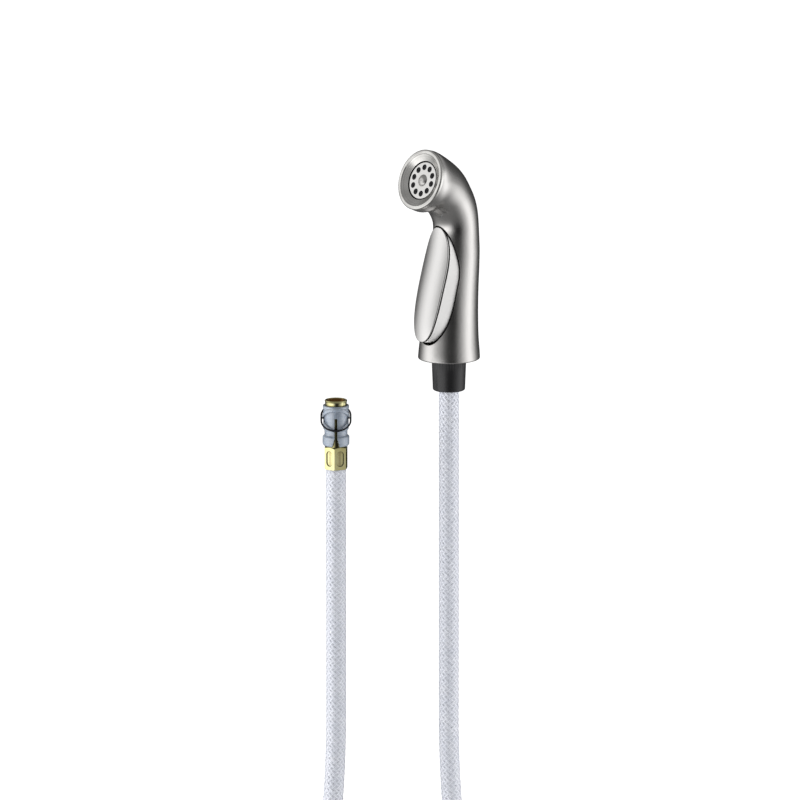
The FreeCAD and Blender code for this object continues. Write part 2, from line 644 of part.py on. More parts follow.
def hex_ferrule():
    """Brass hexagon that carries the hose, with a long shallow recess in each of its faces."""
    corner_r = HEX_AF / math.sqrt(3)
    bottom = at_connector(CONNECTOR_HOSE_Z)
    corners = [bottom + unit(HEX_TURN + 30 + 60 * i) * corner_r for i in range(6)]
    ferrule = Part.Face(Part.makePolygon(corners + corners[:1]))
    ferrule = ferrule.extrude(V(0, 0, HEX_TOP - CONNECTOR_HOSE_Z))
    ferrule = ferrule.common(connector_turned([
        (0, HEX_TOP), (7.2, HEX_TOP), (8.5, HEX_TOP - 0.8), (8.5, CONNECTOR_HOSE_Z + 0.5),
        (7.8, CONNECTOR_HOSE_Z), (0, CONNECTOR_HOSE_Z),
    ]))
    half, run = RECESS_HALF_W, RECESS_RUN
    slot = Part.Face(wire_of([
        V(0, -half, -run), (V(0, 0, -run - half), V(0, half, -run)), V(0, half, run),
        (V(0, 0, run + half), V(0, -half, run)),
    ])).extrude(V(3, 0, 0))
    middle = at_connector((HEX_TOP + CONNECTOR_HOSE_Z) / 2)
    for i in range(6):
        angle = HEX_TURN + 60 * i
        place = middle + unit(angle) * (HEX_AF / 2 - RECESS_DEPTH)
        tool = slot.copy()
        tool.Placement = FreeCAD.Placement(place, FreeCAD.Rotation(V(0, 0, 1), angle))
        ferrule = ferrule.cut(tool)
    ferrule = ferrule.cut(rod(4.95, at_connector(HEX_TOP + 1), at_connector(-62.45)))
    return ferrule.cut(rod(4.34, at_connector(HEX_TOP), at_connector(CONNECTOR_HOSE_Z - 1)))


NODES = [
    spray_body, face_ring, spray_disc, jet_pad, jet_plate, face_screw, face_seal, head_chamber,
    water_tube, valve_body, gland_nut, stem_seal, valve_cap, valve_stem, seat_washer,
    valve_spring, flow_regulator, lever_paddle, lever_frame, hinge_pin, hose_nut, hose_washer,
    retaining_clip, swivel_fitting, swivel_seals, crimp_sleeve, hose_tube, hose_insert,
    socket_barrel, socket_seals, snap_collar, release_ring, hex_ferrule,
]

if __name__ == "__main__":
    os.makedirs("parts", exist_ok=True)
    for make in NODES:
        shape = make()
        if not shape.isValid():
            print(make.__name__, "is not valid")
        shape.exportStep("parts/%s.step" % make.__name__)
        print("%-16s %2d solid, volume %9.1f" % (make.__name__, len(shape.Solids), shape.Volume))
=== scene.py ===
import json
import math

import bpy
import numpy as np
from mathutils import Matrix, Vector


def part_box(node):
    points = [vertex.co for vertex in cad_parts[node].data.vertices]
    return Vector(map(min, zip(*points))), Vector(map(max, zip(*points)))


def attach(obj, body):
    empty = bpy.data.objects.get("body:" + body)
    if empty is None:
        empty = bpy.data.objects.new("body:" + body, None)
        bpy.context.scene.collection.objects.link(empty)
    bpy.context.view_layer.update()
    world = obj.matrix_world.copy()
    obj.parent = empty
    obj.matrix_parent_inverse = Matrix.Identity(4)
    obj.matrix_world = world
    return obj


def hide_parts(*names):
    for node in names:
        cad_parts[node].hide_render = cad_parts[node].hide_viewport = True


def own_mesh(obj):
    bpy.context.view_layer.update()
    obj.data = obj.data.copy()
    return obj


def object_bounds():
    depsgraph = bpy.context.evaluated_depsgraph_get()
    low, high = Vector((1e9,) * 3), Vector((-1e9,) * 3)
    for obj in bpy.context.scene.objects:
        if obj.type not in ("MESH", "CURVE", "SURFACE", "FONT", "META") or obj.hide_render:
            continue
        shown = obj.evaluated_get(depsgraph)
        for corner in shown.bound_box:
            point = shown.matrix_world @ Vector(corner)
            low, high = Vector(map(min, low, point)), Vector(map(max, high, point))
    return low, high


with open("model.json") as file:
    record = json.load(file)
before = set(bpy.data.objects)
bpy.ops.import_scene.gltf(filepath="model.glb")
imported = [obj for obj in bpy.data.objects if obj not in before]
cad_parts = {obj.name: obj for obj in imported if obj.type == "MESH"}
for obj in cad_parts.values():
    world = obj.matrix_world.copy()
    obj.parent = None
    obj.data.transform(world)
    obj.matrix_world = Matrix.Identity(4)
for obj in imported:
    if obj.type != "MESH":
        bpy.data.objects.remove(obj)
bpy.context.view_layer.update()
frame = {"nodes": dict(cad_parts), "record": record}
NODES = frame["nodes"]
SCENE = bpy.context.scene


def unit(degrees):
    """A level unit vector in this direction."""
    return Vector((math.cos(math.radians(degrees)), math.sin(math.radians(degrees)), 0))


# ---- Places on the object, in metres ------------------------------------------------------------
ALONG = unit(229)                   # from the sprayer's leg to the connector's
ACROSS = unit(319)                  # the connector's front
LEG_GAP = 0.0746
CONNECTOR = ALONG * LEG_GAP
NECK_Z, BEND_CENTRE_Y, BEND_R = 0.087, -0.0294, 0.0355
FACE_AXIS = Vector((0, -0.9361, 0.3518))
FACE = (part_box("spray_disc")[0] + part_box("spray_disc")[1]) / 2
VALVE = Vector((0, 0, 0.034))

# the hose's route: along the line between the legs, across it, and height
ROUTE = [
    (0.0, 0.0, -0.0126), (0.0, 0.0, -0.1913), (0.0, 0.0, -0.290), (-0.0115, 0.002, -0.388),
    (-0.030, 0.005, -0.461), (-0.052, 0.007, -0.515), (-0.036, 0.008, -0.5685),
    (0.0085, 0.008, -0.602), (0.065, 0.007, -0.600), (0.109, 0.006, -0.566),
    (0.1265, 0.0045, -0.513), (0.105, 0.003, -0.459), (0.0855, 0.001, -0.386),
    (LEG_GAP, 0.0, -0.288), (LEG_GAP, 0.0, -0.1894), (LEG_GAP, 0.0, -0.0744),
]


# ---- Camera -------------------------------------------------------------------------------------
CAMERA_AZIMUTH, CAMERA_ELEVATION = 49.0, 12.0
LENS_MM, SENSOR_MM = 800.0, 36.0
VIEW_WIDTH = 0.528                  # width of the view at the object
AIM_RIGHT, AIM_UP = -0.0323, -0.0277    # the view's centre, from the origin


def camera():
    a, e = math.radians(CAMERA_AZIMUTH), math.radians(CAMERA_ELEVATION)
    back = Vector((math.sin(a) * math.cos(e), -math.cos(a) * math.cos(e), math.sin(e)))
    right = Vector((math.cos(a), math.sin(a), 0))
    up = back.cross(right)
    data = bpy.data.cameras.new("camera")
    data.lens, data.sensor_width = LENS_MM, SENSOR_MM
    cam = bpy.data.objects.new("camera", data)
    SCENE.collection.objects.link(cam)
    cam.location = right * AIM_RIGHT + up * AIM_UP + back * (VIEW_WIDTH * LENS_MM / SENSOR_MM)
    cam.rotation_euler = (-back).to_track_quat("-Z", "Y").to_euler()
    SCENE.camera = cam


# ---- Mesh helpers -------------------------------------------------------------------------------
def add_mesh(name, points, faces):
    mesh = bpy.data.meshes.new(name)
    mesh.from_pydata([tuple(p) for p in points], [], faces)
    mesh.update()
    mesh.shade_smooth()
    piece = bpy.data.objects.new(name, mesh)
    SCENE.collection.objects.link(piece)
    return piece


# ---- Hose ---------------------------------------------------------------------------------------
CORE_R = 0.00612
STRANDS = 12                        # bundles wound each way
LEAD = 0.0506                       # length of one turn of a bundle
ROW_STEP = LEAD / (2 * STRANDS) / 2     # two rows of points from one crossing to the next
STRAND_WIDTH = 0.00305
STRAND_MID_R, STRAND_RISE = 0.00634, 0.00017    # a bundle's middle, and its way up and down
STRAND_CROWN = 0.00024
# a bundle's section: share of its width, share of its crown, and share of the way across
STRAND_SECTION = [(-0.5, 0.0, 0.0), (-0.2, 1.0, 0.3), (0.2, 1.0, 0.7), (0.5, 0.0, 1.0)]


def hose_core():
    """The hose's liner, a smooth tube on the route."""
    data = bpy.data.curves.new("hose_core", "CURVE")
    data.dimensions = "3D"
    spline = data.splines.new("NURBS")
    spline.points.add(len(ROUTE) - 1)
    for point, (a, b, z) in zip(spline.points, ROUTE):
        place = ALONG * a + ACROSS * b
        point.co = (place.x, place.y, z, 1.0)
    spline.order_u = 3
    spline.use_endpoint_u = True
    data.resolution_u = 16
    data.bevel_depth = CORE_R
    data.bevel_resolution = 10
    data.use_fill_caps = True
    core = bpy.data.objects.new("hose_core", data)
    SCENE.collection.objects.link(core)
    return core


def centre_line(curve_piece, step):
    """Even points along a curve piece's own line, read from the curve itself."""
    bare = bpy.data.objects.new("bare", curve_piece.data.copy())
    bare.data.bevel_depth = 0
    mesh = bpy.data.meshes.new_from_object(bare)
    line = np.array([v.co for v in mesh.vertices])
    bpy.data.meshes.remove(mesh)
    bpy.data.curves.remove(bare.data)
    lengths = np.concatenate([[0], np.cumsum(np.linalg.norm(np.diff(line, axis=0), axis=1))])
    at = np.linspace(0, lengths[-1], int(round(lengths[-1] / step)) + 1)
    return at, np.stack([np.interp(at, lengths, line[:, k]) for k in range(3)], axis=1)


def carried_directions(line):
    """Tangents, and two side directions that don't twist along the line."""
    tangents = np.gradient(line, axis=0)
    tangents /= np.linalg.norm(tangents, axis=1)[:, None]
    side = np.array(ACROSS)
    sides = []
    for t in tangents:
        side = side - t * side.dot(t)
        side /= np.linalg.norm(side)
        sides.append(side)
    sides = np.array(sides)
    return tangents, sides, np.cross(tangents, sides)


def strand_points(way, start_angle, along, line, directions):
    """A bundle's points, row by row, as it winds round the liner, over and under the others."""
    tangents, first, second = directions
    lean = math.atan(2 * math.pi * STRAND_MID_R / LEAD)
    turn = start_angle + way * 2 * math.pi * along / LEAD
    crossings = along / (LEAD / (2 * STRANDS))
    radius = STRAND_MID_R + way * STRAND_RISE * np.cos(math.pi * crossings)
    out = first * np.cos(turn)[:, None] + second * np.sin(turn)[:, None]
    flat = np.cross(tangents, out) * math.cos(lean) - tangents * way * math.sin(lean)
    columns = []
    for width, crown, _ in STRAND_SECTION:
        reach = width * STRAND_WIDTH
        sink = radius - np.sqrt(radius ** 2 - (reach * math.cos(lean)) ** 2)
        rise = radius + crown * STRAND_CROWN - sink
        columns.append(line + out * rise[:, None] + flat * reach)
    return np.stack(columns, axis=1).reshape(-1, 3)


def braid(name, way, along, line, directions):
    """The flat bundles of nylon yarn that wind one way round the liner."""
    rows, corners = len(along), len(STRAND_SECTION)
    across = [share for _, _, share in STRAND_SECTION]
    points, faces, coordinates = [], [], []
    for strand in range(STRANDS):
        start_angle = 2 * math.pi * strand / STRANDS
        points.append(strand_points(way, start_angle, along, line, directions))
        start = corners * rows * strand
        for i in range(rows - 1):
            near, far = start + corners * i, start + corners * (i + 1)
            for j in range(corners):
                k = (j + 1) % corners
                faces.append((near + j, near + k, far + k, far + j))
                coordinates += [across[j], along[i], across[k], along[i],
                                across[k], along[i + 1], across[j], along[i + 1]]
        last = start + corners * (rows - 1)
        faces += [tuple(range(start, start + corners))[::-1], tuple(range(last, last + corners))]
        coordinates += [0.5, 0.0] * (2 * corners)
    piece = add_mesh(name, np.concatenate(points), faces)
    piece.data.uv_layers.new(name="yarn").data.foreach_set("uv", coordinates)
    return piece


def hose():
    """The liner, and the braid's two windings over it."""
    core = hose_core()
    along, line = centre_line(core, ROW_STEP)
    directions = carried_directions(line)
    covers = [braid("hose_braid_right", 1, along, line, directions),
              braid("hose_braid_left", -1, along, line, directions)]
    return core, covers


# ---- Valve spring -------------------------------------------------------------------------------
SPRING_WIRE_R, SPRING_COIL_R, SPRING_TURNS = 0.0004, 0.0034, 4
SPRING_FRONT_Y, SPRING_BACK_Y = 0.0029, 0.0083      # the middle of the wire at each end
SPRING_STEPS = 96                   # points along its wire


def valve_spring():
    """The coil spring behind the valve's stem, as a mesh."""
    data = bpy.data.curves.new("spring_line", "CURVE")
    data.dimensions = "3D"
    spline = data.splines.new("POLY")
    spline.points.add(SPRING_STEPS)
    for i, point in enumerate(spline.points):
        share = i / SPRING_STEPS
        turn = 2 * math.pi * SPRING_TURNS * share
        point.co = (SPRING_COIL_R * math.sin(turn),
                    SPRING_FRONT_Y + (SPRING_BACK_Y - SPRING_FRONT_Y) * share,
                    VALVE.z + SPRING_COIL_R * math.cos(turn), 1.0)
    data.bevel_depth = SPRING_WIRE_R
    data.bevel_resolution = 2
    data.use_fill_caps = True
    line = bpy.data.objects.new("spring_line", data)
    mesh = bpy.data.meshes.new_from_object(line)
    mesh.shade_smooth()
    bpy.data.curves.remove(data)
    piece = bpy.data.objects.new("stem_spring", mesh)
    SCENE.collection.objects.link(piece)
    return piece


# ---- Numbers for the finishes -------------------------------------------------------------------
NOISE_SPAN = (0.25, 0.75)           # where most of a noise's values lie
PRODUCT_SPAN = (0.12, 0.38)         # and most of the product of two noises
BRUSH_ALONG, BRUSH_ACROSS = 60.0, 5200.0    # brush marks per metre, along and across them
BRUSH_DEPTH = 0.000001
GRAIN_SHARE = 0.2                   # how much of the brushed metal's tone is its grain's
EDGE_REACH = 0.00025                # how far from an edge its wear reaches
GAP_REACH = 0.004                   # how far off a wall is that shades a gap
PLAIN_GAPS = (0.36, 0.90)           # openness at which a gap's painted shade is full, and where it ends
LEVER_GAPS = (0.68, 0.98)           # the same round the lever
# painted shade: near black for gaps and crevices that light hardly reaches
GAP_PAINTED_SHADE = (0.006, 0.006, 0.006)
GAP_SHADE_SHARE = 0.08                    # share of a turned metal's dark colour kept in the painted shade of a deep gap
HANDLED = (-0.02, 0.04)             # what handling adds to the roughness, here and there
BORE_PAINTED_SHADE = (0.17, 0.085, 0.025)   # painted shade: brass darkened brown inside the bore
BORE_EDGE = (0.0062, 0.0066)        # distance from the axis at which the bore's painted shade ends
BRASS_DARK, BRASS_LIGHT = (0.82, 0.73, 0.30), (0.98, 0.94, 0.55)
NICKEL_DARK, NICKEL_LIGHT = (0.80, 0.79, 0.77), (0.93, 0.92, 0.90)
# the first is painted shade for the collar's gaps and slit, the second its rubbed edges
COLLAR_GAP_SHADE, COLLAR_EDGE = (0.08, 0.09, 0.12), (0.52, 0.57, 0.62)
COLLAR_DARK, COLLAR_LIGHT = (0.20, 0.24, 0.30), (0.29, 0.34, 0.41)
COLLAR_GAP_REACH = 0.0016
YARN_ENDS = 3                       # ends of yarn side by side in a bundle
# painted shade between the ends of yarn and at a bundle's sides
YARN_PAINTED_SHADE = (0.20, 0.22, 0.28)
YARN_DARK, YARN_LIGHT = (0.75, 0.77, 0.84), (0.86, 0.87, 0.92)
WIRE_DARK, WIRE_LIGHT = (0.022, 0.022, 0.026), (0.06, 0.06, 0.065)


# ---- Finishes -----------------------------------------------------------------------------------
class Finish:
    """A material being put together: a Principled shader and the nodes that feed it."""

    def __init__(self, name, colour, roughness, **fixed):
        self.material = bpy.data.materials.new(name)
        self.material.use_nodes = True
        self.tree = self.material.node_tree
        self.shader = self.tree.nodes["Principled BSDF"]
        self.shader.inputs["Base Color"].default_value = (*colour, 1)
        self.shader.inputs["Roughness"].default_value = roughness
        for socket, value in fixed.items():
            self.shader.inputs[socket.replace("_", " ")].default_value = value

    def node(self, kind, **settings):
        made = self.tree.nodes.new("ShaderNode" + kind)
        for key, value in settings.items():
            setattr(made, key, value)
        return made

    def feed(self, socket, source):
        """Links a node's output, or sets a plain value, on a socket."""
        if isinstance(source, bpy.types.NodeSocket):
            self.tree.links.new(source, socket)
        else:
            socket.default_value = source

    def math(self, operation, first, second=0.0):
        made = self.node("Math", operation=operation)
        self.feed(made.inputs[0], first)
        self.feed(made.inputs[1], second)
        return made.outputs[0]

    def position(self):
        return self.node("TexCoord").outputs["Object"]

    def vector(self, x, y, z):
        made = self.node("CombineXYZ")
        for socket, value in zip(made.inputs, (x, y, z)):
            self.feed(socket, value)
        return made.outputs[0]

    def split(self, vector):
        made = self.node("SeparateXYZ")
        self.feed(made.inputs[0], vector)
        return made.outputs

    def scaled(self, vector, scale):
        made = self.node("VectorMath", operation="MULTIPLY")
        self.feed(made.inputs[0], vector)
        made.inputs[1].default_value = scale
        return made.outputs[0]

    def noise(self, vector, scale=1.0, detail=3.0):
        made = self.node("TexNoise")
        self.feed(made.inputs["Vector"], vector)
        made.inputs["Scale"].default_value = scale
        made.inputs["Detail"].default_value = detail
        return made.outputs["Fac"]

    def ranged(self, value, low, high, from_low=NOISE_SPAN[0], from_high=NOISE_SPAN[1]):
        """A value brought from one span to another, and kept within it."""
        made = self.node("MapRange")
        self.feed(made.inputs["Value"], value)
        made.inputs["From Min"].default_value = from_low
        made.inputs["From Max"].default_value = from_high
        made.inputs["To Min"].default_value = low
        made.inputs["To Max"].default_value = high
        return made.outputs["Result"]

    def blended(self, share, first, second):
        """A colour between two."""
        made = self.node("Mix", data_type="RGBA")
        self.feed(made.inputs["Factor"], share)
        for socket, colour in zip(made.inputs[6:8], (first, second)):
            self.feed(socket, (*colour, 1) if isinstance(colour, tuple) else colour)
        return made.outputs[2]

    def colour(self, source):
        self.feed(self.shader.inputs["Base Color"], source)

    def roughness(self, source):
        self.feed(self.shader.inputs["Roughness"], source)

    def bump(self, height, distance):
        made = self.node("Bump")
        made.inputs["Distance"].default_value = distance
        self.feed(made.inputs["Height"], height)
        self.feed(self.shader.inputs["Normal"], made.outputs[0])

    def openness(self, reach, gaps=PLAIN_GAPS):
        """How open a point is, from nothing in a deep gap to one on an open face; the finishes
        paint shade into their colour with it.
        """
        made = self.node("AmbientOcclusion", samples=8)
        made.inputs["Distance"].default_value = reach
        return self.ranged(made.outputs["AO"], 0.0, 1.0, *gaps)

    def edge(self, radius):
        """How sharp an edge a point is on, from nothing on a flat to one."""
        rounded = self.node("Bevel", samples=4)
        rounded.inputs["Radius"].default_value = radius
        plain = self.node("NewGeometry").outputs["Normal"]
        dot = self.node("VectorMath", operation="DOT_PRODUCT")
        self.feed(dot.inputs[0], rounded.outputs[0])
        self.feed(dot.inputs[1], plain)
        return self.ranged(dot.outputs["Value"], 1.0, 0.0, 0.9, 1.0)


def lathe_place(f, centre, axis):
    """Height along an axis and distance from it, at every point."""
    away = f.node("VectorMath", operation="SUBTRACT")
    f.feed(away.inputs[0], f.position())
    away.inputs[1].default_value = centre
    height = f.node("VectorMath", operation="DOT_PRODUCT")
    f.feed(height.inputs[0], away.outputs[0])
    height.inputs[1].default_value = axis
    square = f.node("VectorMath", operation="CROSS_PRODUCT")
    f.feed(square.inputs[0], away.outputs[0])
    square.inputs[1].default_value = axis
    distance = f.node("VectorMath", operation="LENGTH")
    f.feed(distance.inputs[0], square.outputs[0])
    return height.outputs["Value"], distance.outputs["Value"]


def lighter(colour, times, more=0.0):
    return tuple(min(1.0, c * times + more) for c in colour)


def satin(name, dark, light, smooth, rough, brushed, metallic=1.0, gaps=PLAIN_GAPS):
    """Satin nickel with a very fine brushed grain; brushed gives the brush's coordinates."""
    f = Finish(name, light, rough, Metallic=metallic)
    grain = f.noise(brushed(f))
    handled = f.noise(f.position(), scale=35.0, detail=4.0)
    tone = f.math("ADD", f.math("MULTIPLY", grain, GRAIN_SHARE),
                  f.math("MULTIPLY", handled, 1 - GRAIN_SHARE))
    even = f.blended(f.ranged(tone, 0, 1), dark, light)
    colour_before_gap_shade = f.blended(f.edge(EDGE_REACH), even, lighter(light, 1.15))
    # painted shade: the colour goes near black in gaps and crevices
    f.colour(f.blended(f.openness(GAP_REACH, gaps), GAP_PAINTED_SHADE, colour_before_gap_shade))
    f.roughness(f.math("ADD", f.ranged(grain, smooth, rough), f.ranged(handled, *HANDLED)))
    f.bump(grain, BRUSH_DEPTH)
    return f.material


def round_the_grip(f):
    """Brush marks round the grip, and on round the neck's bend."""
    x, y, z = f.split(f.position())
    tilt = f.math("ARCTAN2", f.math("MAXIMUM", f.math("SUBTRACT", z, NECK_Z), 0.0),
                  f.math("SUBTRACT", y, BEND_CENTRE_Y))
    run = f.math("ADD", f.math("MINIMUM", z, NECK_Z), f.math("MULTIPLY", tilt, BEND_R))
    return f.vector(f.math("MULTIPLY", x, BRUSH_ALONG), f.math("MULTIPLY", y, BRUSH_ALONG),
                    f.math("MULTIPLY", run, BRUSH_ACROSS))


def across_the_lever(f):
    """Brush marks straight across the lever."""
    return f.scaled(f.position(), (BRUSH_ALONG, BRUSH_ALONG, BRUSH_ACROSS))


def turned_metal(name, dark, light, smooth, rough, centre, axis, pitch=0.00022, cut=0.000006,
                 bore=None):
    """Metal with the fine rings that a lathe leaves round its axis, and brown painted shade in its
    bore.
    """
    f = Finish(name, light, rough, Metallic=1.0)
    height, distance = lathe_place(f, centre, axis)
    rings = f.noise(f.vector(f.math("MULTIPLY", height, 1 / pitch),
                             f.math("MULTIPLY", distance, 1 / pitch), 0.0))
    handled = f.noise(f.position(), scale=90.0, detail=5.0)
    tone = f.ranged(f.math("MULTIPLY", rings, handled), 0, 1, *PRODUCT_SPAN)
    colour_before_gap_shade = f.blended(f.edge(EDGE_REACH), f.blended(tone, dark, light), lighter(light, 1.1))
    # painted shade: the inside of the bore is darkened brown
    if bore:
        colour_before_gap_shade = f.blended(f.ranged(distance, 0, 1, *bore), BORE_PAINTED_SHADE, colour_before_gap_shade)
    # painted shade: a deep gap keeps only a small share of the dark colour
    f.colour(f.blended(f.openness(GAP_REACH), lighter(dark, GAP_SHADE_SHARE), colour_before_gap_shade))
    f.roughness(f.math("ADD", f.ranged(rings, smooth, rough), f.ranged(handled, *HANDLED)))
    f.bump(rings, cut)
    return f.material


def moulded(name, colour, low, high, grain=0.00035, depth=0.00002, **fixed):
    """Moulded plastic or rubber with a fine grain and slightly paler edges."""
    f = Finish(name, colour, high, **fixed)
    fine = f.noise(f.position(), scale=1 / grain, detail=2.0)
    slow = f.noise(f.position(), scale=60.0, detail=4.0)
    even = f.blended(f.ranged(slow, 0.0, 0.6), colour, lighter(colour, 1.35, 0.004))
    f.colour(f.blended(f.edge(EDGE_REACH), even, lighter(colour, 1.6, 0.012)))
    f.roughness(f.math("ADD", f.ranged(fine, low, high), f.ranged(slow, -0.05, 0.05)))
    f.bump(fine, depth)
    return f.material


def collar_plastic():
    """Grey-blue plastic that lets a little light through."""
    f = Finish("collar_plastic", (0.26, 0.31, 0.38), 0.25, Subsurface_Weight=0.15,
               Subsurface_Scale=0.002, Specular_IOR_Level=0.9, Coat_Weight=1.0,
               Coat_Roughness=0.08, Coat_IOR=1.9)
    f.shader.inputs["Subsurface Radius"].default_value = (0.6, 0.8, 1.0)
    slow = f.noise(f.scaled(f.position(), (110, 110, 420)), detail=4.0)
    fine = f.noise(f.position(), scale=2600.0, detail=2.0)
    even = f.blended(f.ranged(slow, 0, 1), COLLAR_DARK, COLLAR_LIGHT)
    rubbed = f.blended(f.edge(EDGE_REACH), even, COLLAR_EDGE)
    # painted shade: the collar's colour goes dark in its gaps and slit
    f.colour(f.blended(f.openness(COLLAR_GAP_REACH), COLLAR_GAP_SHADE, rubbed))
    f.roughness(f.ranged(fine, 0.2, 0.34))
    f.bump(fine, 0.000006)
    return f.material


def yarn():
    """White-grey nylon yarn, with painted shade between its ends of yarn and towards a bundle's
    sides, where they dip under the next.
    """
    f = Finish("nylon_braid", (0.72, 0.73, 0.77), 0.4, Coat_Weight=1.0, Coat_Roughness=0.08)
    across, along, _ = f.split(f.node("UVMap", uv_map="yarn").outputs[0])
    ridge = f.math("ABSOLUTE", f.math("SINE", f.math("MULTIPLY", across, YARN_ENDS * math.pi)))
    twist = f.noise(f.vector(f.math("MULTIPLY", across, 14), f.math("MULTIPLY", along, 900), 0.0),
                    detail=2.0)
    patch = f.noise(f.position(), scale=150.0)
    middle = f.ranged(f.math("SINE", f.math("MULTIPLY", across, math.pi)), 0.0, 1.0, 0.0, 0.7)
    # painted shade: dark between the ends of yarn and towards a bundle's sides, with a little
    # random tone from the twist
    out_of_shade = f.math("MULTIPLY", f.math("MULTIPLY", f.ranged(ridge, 0.3, 1.0, 0.0, 0.8), middle),
                    f.ranged(twist, 0.7, 1.0))
    bright = f.blended(f.ranged(patch, 0, 1), YARN_DARK, YARN_LIGHT)
    f.colour(f.blended(out_of_shade, YARN_PAINTED_SHADE, bright))
    f.roughness(f.ranged(twist, 0.32, 0.5))
    f.bump(f.math("ADD", ridge, f.math("MULTIPLY", twist, 0.3)), 0.00010)
    return f.material


def liner():
    """The grey tube seen in the braid's gaps."""
    return moulded("hose_liner", (0.64, 0.66, 0.72), 0.4, 0.55)


def wire_steel():
    """Dark oiled spring steel."""
    f = Finish("dark_wire", (0.035, 0.035, 0.04), 0.3, Metallic=0.9)
    drawn = f.noise(f.position(), scale=900.0)
    f.colour(f.blended(f.ranged(drawn, 0, 1), WIRE_DARK, WIRE_LIGHT))
    f.roughness(f.ranged(drawn, 0.22, 0.4))
    f.bump(drawn, 0.00001)
    return f.material


def finishes():
    """Every CAD node's finish, by the record's slot, and then the nodes that differ."""
    up, back = Vector((0, 0, 1)), Vector((0, 1, 0))
    by_slot = {
        "satin_nickel": satin("satin_housing", dark=(0.71, 0.695, 0.68), light=(0.80, 0.785, 0.77),
                              smooth=0.20, rough=0.24, brushed=round_the_grip),
        "black_rubber": moulded("black_rubber", (0.008, 0.008, 0.009), 0.5, 0.65,
                                Specular_IOR_Level=0.25),
        "white_plastic": moulded("white_acetal", (0.74, 0.74, 0.72), 0.35, 0.45),
        "brass": turned_metal("turned_brass", BRASS_DARK, BRASS_LIGHT, 0.10, 0.18, CONNECTOR, up,
                              bore=BORE_EDGE),
        "spring_steel": wire_steel(),
        "black_plastic": moulded("black_acetal", (0.010, 0.010, 0.011), 0.26, 0.36,
                                 Coat_Weight=0.15, Coat_Roughness=0.2),
        "collar_plastic": collar_plastic(),
        "braided_hose": yarn(),
    }
    chosen = {part["node"]: by_slot[part["material_slot"]] for part in frame["record"]["subparts"]}
    chosen.update(
        lever_paddle=satin("satin_lever", dark=(0.75, 0.74, 0.73), light=(0.83, 0.82, 0.81),
                           smooth=0.20, rough=0.26, brushed=across_the_lever, gaps=LEVER_GAPS),
        lever_frame=satin("satin_skirt", dark=(0.90, 0.89, 0.88), light=(0.96, 0.95, 0.94),
                          smooth=0.18, rough=0.24, brushed=across_the_lever, metallic=0.55,
                          gaps=LEVER_GAPS),
        face_ring=turned_metal("turned_ring", (0.60, 0.59, 0.57), (0.93, 0.92, 0.89), 0.16, 0.26,
                               FACE, FACE_AXIS, pitch=0.0007, cut=0.00003),
        spray_disc=turned_metal("turned_disc", NICKEL_DARK, NICKEL_LIGHT, 0.2, 0.3, FACE,
                                FACE_AXIS),
        face_screw=turned_metal("turned_button", (0.56, 0.55, 0.53), (0.72, 0.71, 0.69), 0.26, 0.34,
                                FACE, FACE_AXIS),
        gland_nut=turned_metal("gland_brass", BRASS_DARK, BRASS_LIGHT, 0.15, 0.3, VALVE, back),
        valve_stem=turned_metal("stem_brass", BRASS_DARK, BRASS_LIGHT, 0.12, 0.25, VALVE, back),
    )
    for node, material in chosen.items():
        for place in NODES[node].material_slots:
            place.material = material
    return by_slot


# ---- Studio -------------------------------------------------------------------------------------
FLOOR_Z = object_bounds()[0].z - 0.004
FLOOR_REACH, FLOOR_GREY, FLOOR_LIT = 30.0, 0.92, 0.8
# each soft lamp's bearing to the right of the camera and height in degrees, distance and size in
# metres, and power in watts
LAMPS = {
    "key": (-90, 10, 1.6, 0.9, 24),
    "fill": (92, 10, 1.8, 0.9, 22),
    "top": (10, 80, 1.6, 1.4, 3),
}

# brightness of the surroundings by bearing from the camera's side, in degrees to the right: a
# little below the object's level, and at its level or above
LOW_SIDES = [
    (-180, 0.02), (-150, 0.04), (-138, 0.09), (-114, 0.50), (-96, 1.02), (-80, 1.34), (-66, 1.47),
    (-54, 1.50), (-42, 1.44), (-30, 1.06), (-19, 0.50), (-8, 0.0), (20, 0.0), (30, 0.10),
    (40, 0.26), (50, 0.46), (60, 0.72), (70, 1.04), (80, 1.32), (92, 1.36), (106, 0.80),
    (120, 0.30), (136, 0.05), (180, 0.02),
]
LEVEL_SIDES = [
    (-180, 0.05), (-168, 0.20), (-155, 0.42), (-144, 0.20), (-134, 0.08), (-126, 0.16),
    (-112, 0.62), (-98, 1.00), (-88, 1.15), (-78, 1.12), (-68, 0.94), (-60, 0.68), (-51, 0.40),
    (-40, 0.28), (-28, 0.14), (-10, 0.03), (20, 0.03), (30, 0.12),
    (40, 0.28), (50, 0.50), (60, 0.74), (72, 1.14), (84, 1.42), (96, 0.94), (110, 0.40),
    (130, 0.05), (180, 0.03),
]
SURROUND_PEAK = 1.6                 # more than the ramps' brightest value
FLOOR_GLOW, OVERHEAD = 0.16, 0.30   # brightness steeply below and steeply above
# where one kind of surroundings gives way to the next, as the sine of the height
STEEP_BELOW, LOW_TO_LEVEL, STEEP_ABOVE = (-0.90, -0.25), (-0.15, -0.04), (0.30, 0.62)


